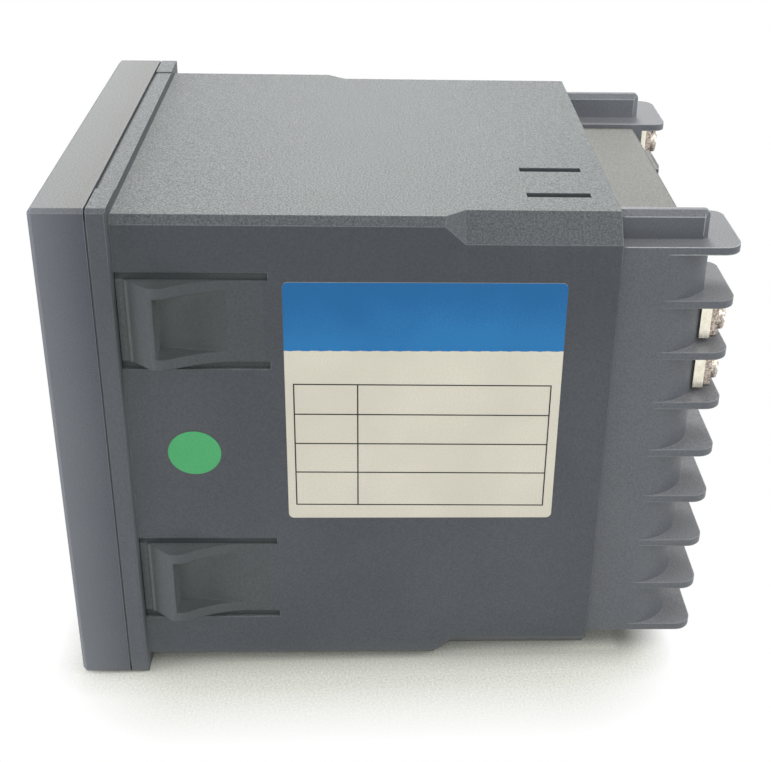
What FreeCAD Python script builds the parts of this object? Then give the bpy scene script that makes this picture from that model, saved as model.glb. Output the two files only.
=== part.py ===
import FreeCAD, Part
import math
import os

os.makedirs("parts", exist_ok=True)

# Panel-mount temperature controller, 96 x 96 front, in millimetres.
# Front faces -Y, depth runs along +Y, Z is up.
# The origin is the centre of the flange's back face, which seats on the panel.

# Driving dimensions: front and case
FRONT = 96.0
BEZEL_DEPTH = 9.27
FLANGE_DEPTH = 3.6
EDGE_BEVEL = 0.7
SEAM_WIDTH = 0.3
SEAM_DEPTH = 0.8
FLANGE_BACK_BEVEL = 0.3
FLANGE_RECESS_HALF = 37.75
FLANGE_RECESS_DEPTH = 0.25
FLANGE_RECESS_SEAM = 0.55
BODY = 91.5
BODY_LENGTH = 86.05
BODY_DRAFT = 0.24
WALL = 2.2
REAR_WALL = 2.2
NARROW_BEVEL = 1.4
WIDE_BEVEL = 4.5
CAVITY_BEVEL = 3.2
BEVEL_RAMP_RIGHT = (55.9, 59.4)
BEVEL_RAMP_LEFT = (34.1, 37.8)
VENT_CENTRES = (19.9, 33.5)
VENT_SPAN = (70.6, 81.85)
VENT_WIDTH = 2.2
FIT_GAP = 0.1

# Driving dimensions: snap latches
LATCH_CENTRE = 26.9
LATCH_WIDTH = 15.35
LATCH_GAP = 1.47
LATCH_FREE_END = 1.5
LATCH_RAMP_START = 2.05
LATCH_RAMP_END = 5.5
LATCH_HEIGHT = 3.6
LATCH_CREST_FRONT_DROP = 0.35
LATCH_CREST_BACK_DROP = 0.25
LATCH_BACK_RADIUS = 22.0
LATCH_BACK_TANGENT = 20.3
LATCH_THICKNESS = 3.15
LATCH_NECK = 14.5
LATCH_ROOT = 25.7
LATCH_ROOT_RADIUS = 1.6
LATCH_ROOT_GAP = 0.1
LATCH_RAIL = 2.0
LATCH_SLOT_RELIEF = 0.2
POCKET_START = 6.6
POCKET_END = 18.5
POCKET_DEPTH = 1.85

# Driving dimensions: terminal strips
STRIP_INNER = 26.3
STRIP_OUTER = 44.5
FIN_COUNT = 9
FIN_PITCH = 9.95
FIN_THICKNESS = 1.45
FIN_END = 107.05
FIN_OUTER_RADIUS = 3.2
FIN_INNER_RADIUS = 2.4
WALL_CURVE_START = 93.9
WALL_CURVE_RADIUS = 9.5
SEAT = 102.1
SCREW_X = 36.0
SCREW_POCKET = 3.4
SCREW_POCKET_DEPTH = 9.0
RAIL_FACE_RIGHT = 40.8
RAIL_FACE_LEFT = -31.0
RAIL_THICKNESS = 1.95
RAIL_TOP = 45.65
RAIL_END = 101.7
RAIL_BEVEL = 1.08
PLUG_INNER = 29.4
PLUG_OUTER = 42.0
PLUG_HALF_HEIGHT = 38.4

# Driving dimensions: terminal fittings, counted from the top
FITTED_RIGHT = (2, 3)
FITTED_LEFT = (1, 2, 4, 5)
PLATE_INNER = 30.8
PLATE_OUTER = 40.6
PLATE_HEIGHT = 6.6
PLATE_THICKNESS = 1.9
PLATE_BORE = 3.1
TAB_THICKNESS = 0.8
TAB_HEIGHT = 3.0
TAB_FRONT = 77.0
TAB_GAP = 0.15
WASHER_WIDTH = 8.6
WASHER_HEIGHT = 6.8
WASHER_THICKNESS = 1.3
WASHER_BORE = 3.4
WASHER_BEVEL = 0.6
SCREW_SHANK = 3.0
SCREW_HEAD = 6.5
SCREW_HEAD_HEIGHT = 1.5
SCREW_LENGTH = 7.5
SCREW_SLOT = 0.9
SCREW_SLOT_DEPTH = 0.8

# Driving dimensions: rear cover
COVER_HALF_WIDTH = 26.2
COVER_HALF_HEIGHT = 39.7
COVER_END = 100.1
COVER_WALL = 2.0
COVER_BEVEL = 0.4
COVER_TAB = (-12.0, 0.0)
COVER_TAB_HEIGHT = 6.0
COVER_TAB_DEPTH = 0.65
COLLAR_HALF_WIDTH = 22.8
COLLAR_HALF_HEIGHT = 35.8

# Driving dimensions: label and sticker on the right side
LABEL_Y = (28.25, 77.2)
LABEL_Z = (-13.15, 34.4)
LABEL_THICKNESS = 0.1
LABEL_RADIUS = 1.0
STICKER_Y = 11.55
STICKER_Z = 0.8
STICKER_HALF_LENGTH = 4.8
STICKER_HALF_HEIGHT = 4.45
STICKER_THICKNESS = 0.08

# Driving dimensions: front bezel and window
FACE_RECESS = 0.8
FACE_RIM = 4.0
FACE_WALL = 2.2
FACE_RADIUS = 2.0
SKIRT_HALF = 43.3
SKIRT_WALL = 1.5
SKIRT_END = 0.8
WINDOW_WIDTH = 70.0
WINDOW_HEIGHT = 38.0
WINDOW_Z = 16.0
WINDOW_STEP = 1.5
WINDOW_LIP = 1.1
WINDOW_RADIUS = 1.9
POST_XZ = 38.5
POST_WIDTH = 3.7
POST_BORE = 1.9
POST_FLOOR = 1.0

# Driving dimensions: keys and their switches
KEY_NAMES = ("set", "shift", "down", "up")
KEY_PITCH = 18.0
KEY_Z = -26.0
KEY_WIDTH = 12.0
KEY_HEIGHT = 8.0
KEY_RADIUS = 1.6
KEY_GAP = 0.3
KEY_FRONT = -12.85
KEY_LIP = 1.2
KEY_LIP_THICKNESS = 1.0
KEY_STEM = 4.0
PLUNGER_WIDTH = 3.0
PLUNGER_FRONT = -6.8
PLUNGER_ENTRY = 0.8
PLUNGER_GAP = 0.2
SWITCH_SIZE = 6.0
SWITCH_FRONT = -5.5
SWITCH_BEVEL = 0.5
SWITCH_WELL_DEPTH = 1.8

# Driving dimensions: displays, lamps and the board that carries them
BOARD = 1.6
DISPLAY_BOARD_FRONT = -2.0
DISPLAY_BOARD_MARGIN = 0.4
MODULE_FRONT = -9.5
MODULE_RIM = 2.4
MODULE_SIDE_GAP = 0.4
DIGITS = 4
DIGIT_LEAN = math.tan(math.radians(8.0))
PROCESS_DIGIT = {"width": 8.0, "height": 14.2, "pitch": 12.7, "z": 24.5}
SETPOINT_DIGIT = {"width": 5.6, "height": 9.9, "pitch": 10.1, "z": 4.5}
SEGMENT_BAR_SHARE = 0.055
SEGMENT_GAP = 0.22
SEGMENT_RISE = 0.15
POINT_OFFSET_BARS = 2.4
POINT_SIZE_BARS = 2.0
LAMP_COUNT = 5
LAMP_X = -30.5
LAMP_TOP_Z = 30.0
LAMP_PITCH = 7.0
LAMP_WIDTH = 5.0
LAMP_HEIGHT = 2.0
LAMP_BEVEL = 0.3
BOARD_HOLE = 2.4
BOARD_SCREW_SHANK = 1.8
BOARD_SCREW_REACH = 4.0
BOARD_SCREW_HEAD = 3.8
BOARD_SCREW_HEAD_HEIGHT = 1.4
BOARD_SCREW_SLOT = 0.6
BOARD_SCREW_SLOT_LENGTH = 2.6
BOARD_SCREW_SLOT_DEPTH = 0.7

# Driving dimensions: upright boards, their guides and headers
BOARD_X = 30.0
BOARD_FRONT = 2.5
BOARD_REAR = 82.0
BOARD_HALF_HEIGHT = 42.8
GUIDE_FRONT = 4.0
GUIDE_HEIGHT = 2.3
GUIDE_THICKNESS = 1.0
HEADER_HALF = 18.0
HEADER_RISE = 2.5
HEADER_OVERLAP = 4.0

# Driving dimensions: parts on the upright boards
TRANSFORMER_X = -15.2
TRANSFORMER_Y = 32.0
TRANSFORMER_Z = 6.0
CORE_STACK = 14.0
CORE_LENGTH = 35.0
CORE_HEIGHT = 29.6
CORE_LEG = 9.6
CORE_WINDOW_Y = 7.6
CORE_WINDOW_Z = 20.0
BOBBIN_WALL = 1.0
BOBBIN_END = 1.0
BOBBIN_MARGIN = 0.6
BOBBIN_FOOT = 3.0
BOBBIN_PLAY = 0.2
WINDING_MARGIN = 1.4
WINDING_BEVEL = 2.5
RELAY_RISE = 15.6
RELAY_Y = (58.0, 77.0)
RELAY_Z = (-24.0, -8.5)
RELAY_BEVEL = 0.6
CAPACITORS = (
    {"y": 64.0, "z": 8.0, "diameter": 13.0, "length": 21.0},
    {"y": 64.0, "z": 25.0, "diameter": 10.0, "length": 16.0},
    {"y": 12.0, "z": -24.0, "diameter": 8.0, "length": 12.0},
)
CHIPS = (
    {"y": 34.0, "z": 6.0, "length": 12.0, "height": 12.0, "rise": 1.5},
    {"y": 56.0, "z": 18.0, "length": 5.0, "height": 6.2, "rise": 1.6},
    {"y": 56.0, "z": -14.0, "length": 9.6, "height": 6.4, "rise": 3.4},
)
CHIP_BEVEL = 0.3

# Derived places
HALF_FRONT = FRONT / 2
FACE_Y = -FLANGE_DEPTH - BEZEL_DEPTH
PANEL_Y = FACE_Y + FACE_RECESS
FACE_BACK = PANEL_Y + FACE_WALL
SEAM_BACK = -FLANGE_DEPTH + SEAM_WIDTH
SIDE = BODY / 2
CAVITY = SIDE - WALL
REAR_INSIDE = BODY_LENGTH - REAR_WALL
HINGE_X = SIDE - WALL / 2
HINGE_Y = LATCH_ROOT - math.sqrt(LATCH_ROOT_RADIUS**2 - (WALL / 2)**2)
STACK_HEIGHT = (FIN_COUNT - 1) * FIN_PITCH + FIN_THICKNESS
STACK_TOP = STACK_HEIGHT / 2
WALL_CURVE_X = STRIP_OUTER - WALL_CURVE_RADIUS
SEAT_OUTER = WALL_CURVE_X + math.sqrt(WALL_CURVE_RADIUS**2 - (SEAT - WALL_CURVE_START)**2)
WASHER_SEAT = SEAT + PLATE_THICKNESS
HEAD_SEAT = WASHER_SEAT + WASHER_THICKNESS
DISPLAY_BOARD_BACK = DISPLAY_BOARD_FRONT + BOARD
BOARD_FACE = BOARD_X - BOARD / 2
SCREWED_POSTS = [(-POST_XZ, POST_XZ), (POST_XZ, -POST_XZ)]
PLAIN_POSTS = [(-POST_XZ, -POST_XZ), (POST_XZ, POST_XZ)]
X_AXIS = FreeCAD.Vector(1, 0, 0)
Y_AXIS = FreeCAD.Vector(0, 1, 0)
Z_AXIS = FreeCAD.Vector(0, 0, 1)
ORIGIN = FreeCAD.Vector(0, 0, 0)
OVERCUT = 1.0
SAME = 1e-6


# Shape helpers

def block(x0, x1, y0, y1, z0, z1):
    return Part.makeBox(x1 - x0, y1 - y0, z1 - z0, FreeCAD.Vector(x0, y0, z0))


def centred_block(half_x, y0, y1, half_z):
    return block(-half_x, half_x, y0, y1, -half_z, half_z)


def upright_block(x, z, width, height, y0, y1):
    return block(x - width / 2, x + width / 2, y0, y1, z - height / 2, z + height / 2)


def rod(x, z, diameter, y0, y1):
    return Part.makeCylinder(diameter / 2, y1 - y0, FreeCAD.Vector(x, y0, z), Y_AXIS)


def line(a, b, z):
    return Part.LineSegment(FreeCAD.Vector(*a, z), FreeCAD.Vector(*b, z)).toShape()


def arc(a, middle, b, z):
    points = [FreeCAD.Vector(*p, z) for p in (a, middle, b)]
    return Part.Arc(*points).toShape()


def raised(edges, height):
    return Part.Face(Part.Wire(edges)).extrude(Z_AXIS * height)


def plan_polygon(points, z0, z1):
    closed = [FreeCAD.Vector(x, y, z0) for x, y in points + points[:1]]
    return Part.Face(Part.makePolygon(closed)).extrude(Z_AXIS * (z1 - z0))


def face_polygon(points, y0, y1):
    closed = [FreeCAD.Vector(x, y0, z) for x, z in points + points[:1]]
    return Part.Face(Part.makePolygon(closed)).extrude(Y_AXIS * (y1 - y0))


def edges_along(shape, axis, keep=lambda point: True):
    found = []
    for edge in shape.Edges:
        if len(edge.Vertexes) != 2:
            continue
        way = edge.Vertexes[1].Point - edge.Vertexes[0].Point
        straight = abs(way.Length - edge.Length) < SAME
        if straight and abs(abs(way.dot(axis)) - way.Length) < SAME and keep(edge.CenterOfMass):
            found.append(edge)
    return found


def edges_at_y(shape, y):
    return [e for e in shape.Edges if abs(e.BoundBox.YMin - y) < SAME and abs(e.BoundBox.YMax - y) < SAME]


def edges_at_x(shape, x):
    return [e for e in shape.Edges if abs(e.BoundBox.XMin - x) < SAME and abs(e.BoundBox.XMax - x) < SAME]


def rounded_plate(x, z, width, height, radius, y0, y1):
    plate = upright_block(x, z, width, height, y0, y1)
    return plate.makeFillet(radius, edges_along(plate, Y_AXIS))


def octagon(half, bevel, y0, y1):
    inner = half - bevel
    points = [(inner, half), (half, inner), (half, -inner), (inner, -half)]
    points += [(-x, z) for x, z in reversed(points)]
    return face_polygon(points, y0, y1)


def fused(shapes):
    return shapes[0].multiFuse(shapes[1:]).removeSplitter()


def mirrored(shape):
    return shape.mirror(ORIGIN, X_AXIS)


def on_side(shape, side):
    return shape if side > 0 else mirrored(shape)


def terminal_z(position):
    return STACK_TOP - FIN_THICKNESS / 2 - (position - 0.5) * FIN_PITCH


# Housing: moulded case with draft, flange, bevels, latch windows, vents and board guides

def case_top(y):
    return SIDE + BODY_DRAFT * (1 - y / BODY_LENGTH)


def drafted_case():
    front = -FLANGE_DEPTH / 2
    profile = [(front, case_top(front)), (BODY_LENGTH, case_top(BODY_LENGTH))]
    profile += [(y, -z) for y, z in reversed(profile)]
    closed = [FreeCAD.Vector(-SIDE, y, z) for y, z in profile + profile[:1]]
    case = Part.Face(Part.makePolygon(closed)).extrude(X_AXIS * BODY)
    corners = [edge for edge in case.Edges if edge.BoundBox.YLength > BODY_LENGTH]
    return case.makeChamfer(NARROW_BEVEL, corners)


def bevel_cutter(side, top, ramp):
    end = BODY_LENGTH + OVERCUT
    stations = ((ramp[0], NARROW_BEVEL), (ramp[1], WIDE_BEVEL), (end, WIDE_BEVEL))
    outline = [((SIDE + case_top(y) - leg) / 2, y) for y, leg in stations]
    outline += [(SIDE + OVERCUT, end), (SIDE + OVERCUT, ramp[0])]
    across = FreeCAD.Vector(side, 0, -top) * WIDE_BEVEL
    closed = [FreeCAD.Vector(side * out, y, top * out) - across for out, y in outline + outline[:1]]
    return Part.Face(Part.makePolygon(closed)).extrude(across * 2)


def latch_window(side, centre):
    height = LATCH_WIDTH + 2 * LATCH_GAP
    low = centre - height / 2
    inner = CAVITY - OVERCUT
    gate = block(inner, SIDE + OVERCUT, 0, HINGE_Y, low, low + height)
    relief = block(inner, SIDE, -LATCH_SLOT_RELIEF, OVERCUT, low, low + height)
    reach = LATCH_ROOT_RADIUS + LATCH_ROOT_GAP
    root = Part.makeCylinder(reach, height, FreeCAD.Vector(HINGE_X, HINGE_Y, low))
    return on_side(gate.fuse([relief, root]), side)


def flange():
    back = HALF_FRONT - FLANGE_BACK_BEVEL
    plan = [(HALF_FRONT, SEAM_BACK), (HALF_FRONT, -FLANGE_BACK_BEVEL), (back, 0)]
    plan += [(-x, y) for x, y in reversed(plan)]
    rim = plan_polygon(plan, -HALF_FRONT, HALF_FRONT)
    rim = rim.common(octagon(HALF_FRONT, EDGE_BEVEL, SEAM_BACK, 0))
    seam_floor = HALF_FRONT - SEAM_DEPTH
    ring = rim.fuse(centred_block(seam_floor, -FLANGE_DEPTH, SEAM_BACK, seam_floor))
    reach = FLANGE_RECESS_HALF
    above = HALF_FRONT + OVERCUT
    recess = block(-reach, reach, SEAM_BACK, 0, HALF_FRONT - FLANGE_RECESS_DEPTH, above)
    seam_end = -FLANGE_DEPTH + FLANGE_RECESS_SEAM
    wide_seam = block(-reach, reach, SEAM_BACK, seam_end, seam_floor, above)
    cuts = [recess, wide_seam]
    return ring.cut(cuts + [shape.mirror(ORIGIN, Z_AXIS) for shape in cuts])


def board_guides():
    guides = []
    tip = CAVITY - GUIDE_HEIGHT
    root = CAVITY + WALL / 2
    end = REAR_INSIDE + REAR_WALL / 2
    reach = BOARD / 2 + FIT_GAP + GUIDE_THICKNESS / 2
    for x in (BOARD_X - reach, BOARD_X + reach):
        half = GUIDE_THICKNESS / 2
        upper = block(x - half, x + half, GUIDE_FRONT, end, tip, root)
        lower = block(x - half, x + half, GUIDE_FRONT, end, -root, -tip)
        guides += [upper, lower, mirrored(upper), mirrored(lower)]
    return guides


def housing():
    shell = drafted_case()
    for side, ramp in ((1, BEVEL_RAMP_RIGHT), (-1, BEVEL_RAMP_LEFT)):
        for top in (1, -1):
            shell = shell.cut(bevel_cutter(side, top, ramp))
    shell = shell.fuse(flange())
    shell = shell.cut(octagon(CAVITY, CAVITY_BEVEL, -FLANGE_DEPTH - OVERCUT, REAR_INSIDE))
    shell = fused([shell] + board_guides())
    front = REAR_INSIDE - OVERCUT
    back = BODY_LENGTH + OVERCUT
    cuts = [centred_block(COLLAR_HALF_WIDTH + FIT_GAP, front, back, COLLAR_HALF_HEIGHT + FIT_GAP)]
    plug_half = PLUG_HALF_HEIGHT + FIT_GAP
    for side in (1, -1):
        opening = block(PLUG_INNER - FIT_GAP, PLUG_OUTER + FIT_GAP, front, back, -plug_half, plug_half)
        cuts.append(on_side(opening, side))
        cuts += [latch_window(side, top * LATCH_CENTRE) for top in (1, -1)]
    for x in VENT_CENTRES:
        half = VENT_WIDTH / 2
        cuts.append(block(x - half, x + half, *VENT_SPAN, CAVITY - OVERCUT, SIDE + OVERCUT))
    return shell.cut(cuts).removeSplitter()


# Snap latch: sprung tongue with a ramped crest, a curved back and a pocket between two rails

def latch_back_drop(y):
    run = LATCH_BACK_TANGENT - y
    return LATCH_BACK_RADIUS - math.sqrt(LATCH_BACK_RADIUS**2 - run**2)


def latch(side, centre):
    low = centre - LATCH_WIDTH / 2
    inner = SIDE - LATCH_THICKNESS
    crest = SIDE + LATCH_HEIGHT
    ramp_top = (crest - LATCH_CREST_FRONT_DROP, LATCH_RAMP_END)
    back_rise = LATCH_HEIGHT - LATCH_CREST_BACK_DROP
    back_run = math.sqrt(LATCH_BACK_RADIUS**2 - (LATCH_BACK_RADIUS - back_rise)**2)
    back_start = LATCH_BACK_TANGENT - back_run
    back_top = (SIDE + back_rise, back_start)
    back_y = (back_start + LATCH_BACK_TANGENT) / 2
    back_middle = (SIDE + latch_back_drop(back_y), back_y)
    back_foot = (SIDE, LATCH_BACK_TANGENT)
    crest_middle = (crest, (LATCH_RAMP_END + back_start) / 2)
    root_tip = (HINGE_X, HINGE_Y + LATCH_ROOT_RADIUS)
    outline = [
        line((inner, LATCH_FREE_END), (SIDE, LATCH_FREE_END), low),
        line((SIDE, LATCH_FREE_END), (SIDE, LATCH_RAMP_START), low),
        line((SIDE, LATCH_RAMP_START), ramp_top, low),
        arc(ramp_top, crest_middle, back_top, low),
        arc(back_top, back_middle, back_foot, low),
        line(back_foot, (SIDE, LATCH_ROOT), low),
        arc((SIDE, LATCH_ROOT), root_tip, (CAVITY, LATCH_ROOT), low),
        line((CAVITY, LATCH_ROOT), (CAVITY, LATCH_BACK_TANGENT), low),
        line((CAVITY, LATCH_BACK_TANGENT), (inner, LATCH_NECK), low),
        line((inner, LATCH_NECK), (inner, LATCH_FREE_END), low),
    ]
    tongue = raised(outline, LATCH_WIDTH)
    above = crest + OVERCUT
    pocket_plan = [
        (SIDE - POCKET_DEPTH, POCKET_START),
        (above, POCKET_START),
        (above, POCKET_END),
        (SIDE, POCKET_END),
    ]
    pocket = plan_polygon(pocket_plan, low + LATCH_RAIL, low + LATCH_WIDTH - LATCH_RAIL)
    return on_side(tongue.cut(pocket), side)


# Terminal strips: curved base wall, barrier fins, a rail on the top fin and the terminal seats

def fin(index):
    z = STACK_TOP - FIN_THICKNESS - index * FIN_PITCH
    plate = block(STRIP_INNER, STRIP_OUTER, BODY_LENGTH, FIN_END, z, z + FIN_THICKNESS)
    outer = edges_along(plate, Z_AXIS, lambda p: p.y > FIN_END - OVERCUT and p.x > SCREW_X)
    plate = plate.makeFillet(FIN_OUTER_RADIUS, outer)
    inner = edges_along(plate, Z_AXIS, lambda p: p.y > FIN_END - OVERCUT and p.x < SCREW_X)
    return plate.makeFillet(FIN_INNER_RADIUS, inner)


def strip_base():
    low = -STACK_TOP
    bend = math.asin((SEAT - WALL_CURVE_START) / WALL_CURVE_RADIUS) / 2
    middle_x = WALL_CURVE_X + WALL_CURVE_RADIUS * math.cos(bend)
    middle_y = WALL_CURVE_START + WALL_CURVE_RADIUS * math.sin(bend)
    outline = [
        line((STRIP_INNER, BODY_LENGTH), (STRIP_OUTER, BODY_LENGTH), low),
        line((STRIP_OUTER, BODY_LENGTH), (STRIP_OUTER, WALL_CURVE_START), low),
        arc((STRIP_OUTER, WALL_CURVE_START), (middle_x, middle_y), (SEAT_OUTER, SEAT), low),
        line((SEAT_OUTER, SEAT), (STRIP_INNER, SEAT), low),
        line((STRIP_INNER, SEAT), (STRIP_INNER, BODY_LENGTH), low),
    ]
    return raised(outline, STACK_HEIGHT)


def rail(face):
    foot = STACK_TOP - FIN_THICKNESS / 2
    bar = block(face - RAIL_THICKNESS, face, BODY_LENGTH, RAIL_END, foot, RAIL_TOP)
    rear = edges_along(bar, X_AXIS, lambda p: p.y > RAIL_END - OVERCUT and p.z > RAIL_TOP - OVERCUT)
    bar = bar.makeFillet(RAIL_BEVEL, rear)
    middle_x = face - RAIL_THICKNESS / 2
    top = edges_along(bar, Y_AXIS, lambda p: p.z > RAIL_TOP - OVERCUT and p.x > middle_x)
    return bar.makeChamfer(RAIL_BEVEL, top)


def terminal_strip(side):
    front = REAR_INSIDE
    plug = block(PLUG_INNER, PLUG_OUTER, front, BODY_LENGTH + OVERCUT, -PLUG_HALF_HEIGHT, PLUG_HALF_HEIGHT)
    strip = fused([strip_base(), plug] + [fin(index) for index in range(FIN_COUNT)])
    cuts = []
    tab_x = PLATE_INNER + TAB_THICKNESS / 2
    tab_width = TAB_THICKNESS + 2 * TAB_GAP
    tab_height = TAB_HEIGHT + 2 * TAB_GAP
    pocket_floor = SEAT - SCREW_POCKET_DEPTH
    for position in range(1, FIN_COUNT):
        z = terminal_z(position)
        cuts.append(upright_block(SCREW_X, z, SCREW_POCKET, SCREW_POCKET, pocket_floor, SEAT + OVERCUT))
        cuts.append(upright_block(tab_x, z, tab_width, tab_height, front - OVERCUT, SEAT + OVERCUT))
    strip = on_side(strip.cut(cuts), side)
    return fused([strip, rail(RAIL_FACE_RIGHT if side > 0 else RAIL_FACE_LEFT)])


# Terminal fittings: plate with a soldering tab, square washer and slotted screw

def terminal_plate(z):
    half = PLATE_HEIGHT / 2
    plate = block(PLATE_INNER, PLATE_OUTER, SEAT, WASHER_SEAT, z - half, z + half)
    tab_x = PLATE_INNER + TAB_THICKNESS / 2
    tab = upright_block(tab_x, z, TAB_THICKNESS, TAB_HEIGHT, TAB_FRONT, SEAT + PLATE_THICKNESS / 2)
    hole = rod(SCREW_X, z, PLATE_BORE, SEAT - OVERCUT, WASHER_SEAT + OVERCUT)
    return fused([plate, tab]).cut(hole)


def square_washer(z):
    plate = upright_block(SCREW_X, z, WASHER_WIDTH, WASHER_HEIGHT, WASHER_SEAT, HEAD_SEAT)
    plate = plate.makeChamfer(WASHER_BEVEL, edges_along(plate, Y_AXIS))
    return plate.cut(rod(SCREW_X, z, WASHER_BORE, WASHER_SEAT - OVERCUT, HEAD_SEAT + OVERCUT))


def terminal_screw(z):
    crown = HEAD_SEAT + SCREW_HEAD_HEIGHT
    floor = crown - SCREW_SLOT_DEPTH
    head = rod(SCREW_X, z, SCREW_HEAD, HEAD_SEAT, crown)
    shank = rod(SCREW_X, z, SCREW_SHANK, HEAD_SEAT - SCREW_LENGTH, floor)
    slot = upright_block(SCREW_X, z, SCREW_HEAD + OVERCUT, SCREW_SLOT, floor, crown + OVERCUT)
    return fused([head, shank]).cut(slot)


def fitted(make):
    right = [make(terminal_z(position)) for position in FITTED_RIGHT]
    left = [mirrored(make(terminal_z(position))) for position in FITTED_LEFT]
    return Part.makeCompound(right + left)


# Rear cover: hollow box between the strips, located by a collar in the case's back wall

def rear_cover():
    shell = centred_block(COVER_HALF_WIDTH, BODY_LENGTH, COVER_END, COVER_HALF_HEIGHT)
    shell = shell.makeChamfer(COVER_BEVEL, edges_at_y(shell, COVER_END))
    tab_top = COVER_HALF_HEIGHT - COVER_BEVEL
    tab_end = COVER_END + COVER_TAB_DEPTH
    tab = block(*COVER_TAB, COVER_END - OVERCUT, tab_end, tab_top - COVER_TAB_HEIGHT, tab_top)
    collar = centred_block(COLLAR_HALF_WIDTH, REAR_INSIDE, BODY_LENGTH + OVERCUT, COLLAR_HALF_HEIGHT)
    shell = fused([shell, tab, collar])
    inside_x = COLLAR_HALF_WIDTH - COVER_WALL
    inside_z = COLLAR_HALF_HEIGHT - COVER_WALL
    return shell.cut(centred_block(inside_x, REAR_INSIDE - OVERCUT, COVER_END - COVER_WALL, inside_z))


# Label and sticker on the right side

def rating_label():
    sheet = block(SIDE, SIDE + LABEL_THICKNESS, *LABEL_Y, *LABEL_Z)
    return sheet.makeFillet(LABEL_RADIUS, edges_along(sheet, X_AXIS))


def inspection_sticker():
    centre = FreeCAD.Vector(SIDE, STICKER_Y, STICKER_Z)
    outline = Part.Ellipse(centre, STICKER_HALF_LENGTH, STICKER_HALF_HEIGHT).toShape()
    outline.rotate(centre, Y_AXIS, 90)
    outline.rotate(centre, X_AXIS, 90)
    return Part.Face(Part.Wire(outline)).extrude(X_AXIS * STICKER_THICKNESS)


# Front bezel: framed face with window and key openings, board posts and a skirt inside the case

def key_x(index):
    return (index - (len(KEY_NAMES) - 1) / 2) * KEY_PITCH


def window_plate(grow, y0, y1):
    width = WINDOW_WIDTH + 2 * grow
    height = WINDOW_HEIGHT + 2 * grow
    return rounded_plate(0, WINDOW_Z, width, height, WINDOW_RADIUS + grow, y0, y1)


def window_lip(grow):
    width = WINDOW_WIDTH + 2 * (WINDOW_STEP + grow)
    height = WINDOW_HEIGHT + 2 * (WINDOW_STEP + grow)
    return upright_block(0, WINDOW_Z, width, height, FACE_BACK - WINDOW_LIP, FACE_BACK)


def key_plate(index, grow, y0, y1):
    width = KEY_WIDTH + 2 * grow
    height = KEY_HEIGHT + 2 * grow
    return rounded_plate(key_x(index), KEY_Z, width, height, KEY_RADIUS + grow, y0, y1)


def front_bezel():
    frame = centred_block(HALF_FRONT, FACE_Y, -FLANGE_DEPTH, HALF_FRONT)
    frame = frame.makeChamfer(EDGE_BEVEL, edges_along(frame, Y_AXIS))
    frame = frame.makeChamfer(EDGE_BEVEL, edges_at_y(frame, FACE_Y))
    frame = fused([frame, octagon(SKIRT_HALF, CAVITY_BEVEL, FACE_BACK, SKIRT_END)])
    face = FRONT - 2 * FACE_RIM
    recess = rounded_plate(0, 0, face, face, FACE_RADIUS, FACE_Y - OVERCUT, PANEL_Y)
    inside = octagon(SKIRT_HALF - SKIRT_WALL, CAVITY_BEVEL, FACE_BACK, SKIRT_END + OVERCUT)
    frame = frame.cut([recess, inside])
    root = FACE_BACK - FACE_WALL / 2
    posts = []
    for x, z in SCREWED_POSTS + PLAIN_POSTS:
        posts.append(upright_block(x, z, POST_WIDTH, POST_WIDTH, root, DISPLAY_BOARD_FRONT))
    frame = fused([frame] + posts)
    bore_end = DISPLAY_BOARD_FRONT + OVERCUT
    cuts = [rod(x, z, POST_BORE, FACE_BACK + POST_FLOOR, bore_end) for x, z in SCREWED_POSTS]
    cuts += [window_plate(FIT_GAP, FACE_Y, FACE_BACK), window_lip(FIT_GAP)]
    cuts += [key_plate(index, KEY_GAP, FACE_Y, FACE_BACK) for index in range(len(KEY_NAMES))]
    return frame.cut(cuts).removeSplitter()


def display_window():
    return fused([window_plate(0, PANEL_Y, FACE_BACK), window_lip(0)])


def key_cap(index):
    x = key_x(index)
    width = KEY_WIDTH + 2 * KEY_LIP
    height = KEY_HEIGHT + 2 * KEY_LIP
    lip_front = FACE_BACK + FIT_GAP
    cap = key_plate(index, 0, KEY_FRONT, lip_front + KEY_LIP_THICKNESS / 2)
    lip = upright_block(x, KEY_Z, width, height, lip_front, lip_front + KEY_LIP_THICKNESS)
    stem = upright_block(x, KEY_Z, KEY_STEM, KEY_STEM, FACE_BACK, PLUNGER_FRONT)
    return fused([cap, lip, stem])


def plunger(index):
    end = SWITCH_FRONT + PLUNGER_ENTRY
    return upright_block(key_x(index), KEY_Z, PLUNGER_WIDTH, PLUNGER_WIDTH, PLUNGER_FRONT, end)


def tact_switches():
    cans = []
    opening = PLUNGER_WIDTH + 2 * PLUNGER_GAP
    well_floor = SWITCH_FRONT + SWITCH_WELL_DEPTH
    for index in range(len(KEY_NAMES)):
        x = key_x(index)
        can = upright_block(x, KEY_Z, SWITCH_SIZE, SWITCH_SIZE, SWITCH_FRONT, DISPLAY_BOARD_FRONT)
        can = can.makeChamfer(SWITCH_BEVEL, edges_along(can, Y_AXIS))
        cans.append(can.cut(upright_block(x, KEY_Z, opening, opening, SWITCH_FRONT - OVERCUT, well_floor)))
    return Part.makeCompound(cans)


# Display group: two four-digit modules with their segments, lamps and the board that carries them

def flat_segment(z, half_w, bar):
    end = half_w - SEGMENT_GAP
    upper = [(-end, z), (bar - end, z + bar), (end - bar, z + bar)]
    lower = [(end, z), (end - bar, z - bar), (bar - end, z - bar)]
    return upper + lower


def upright_segment(x, base, half_h, bar):
    low = base + SEGMENT_GAP
    high = base + half_h - SEGMENT_GAP
    outer = [(x, low), (x + bar, low + bar), (x + bar, high - bar)]
    inner = [(x, high), (x - bar, high - bar), (x - bar, low + bar)]
    return outer + inner


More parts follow.
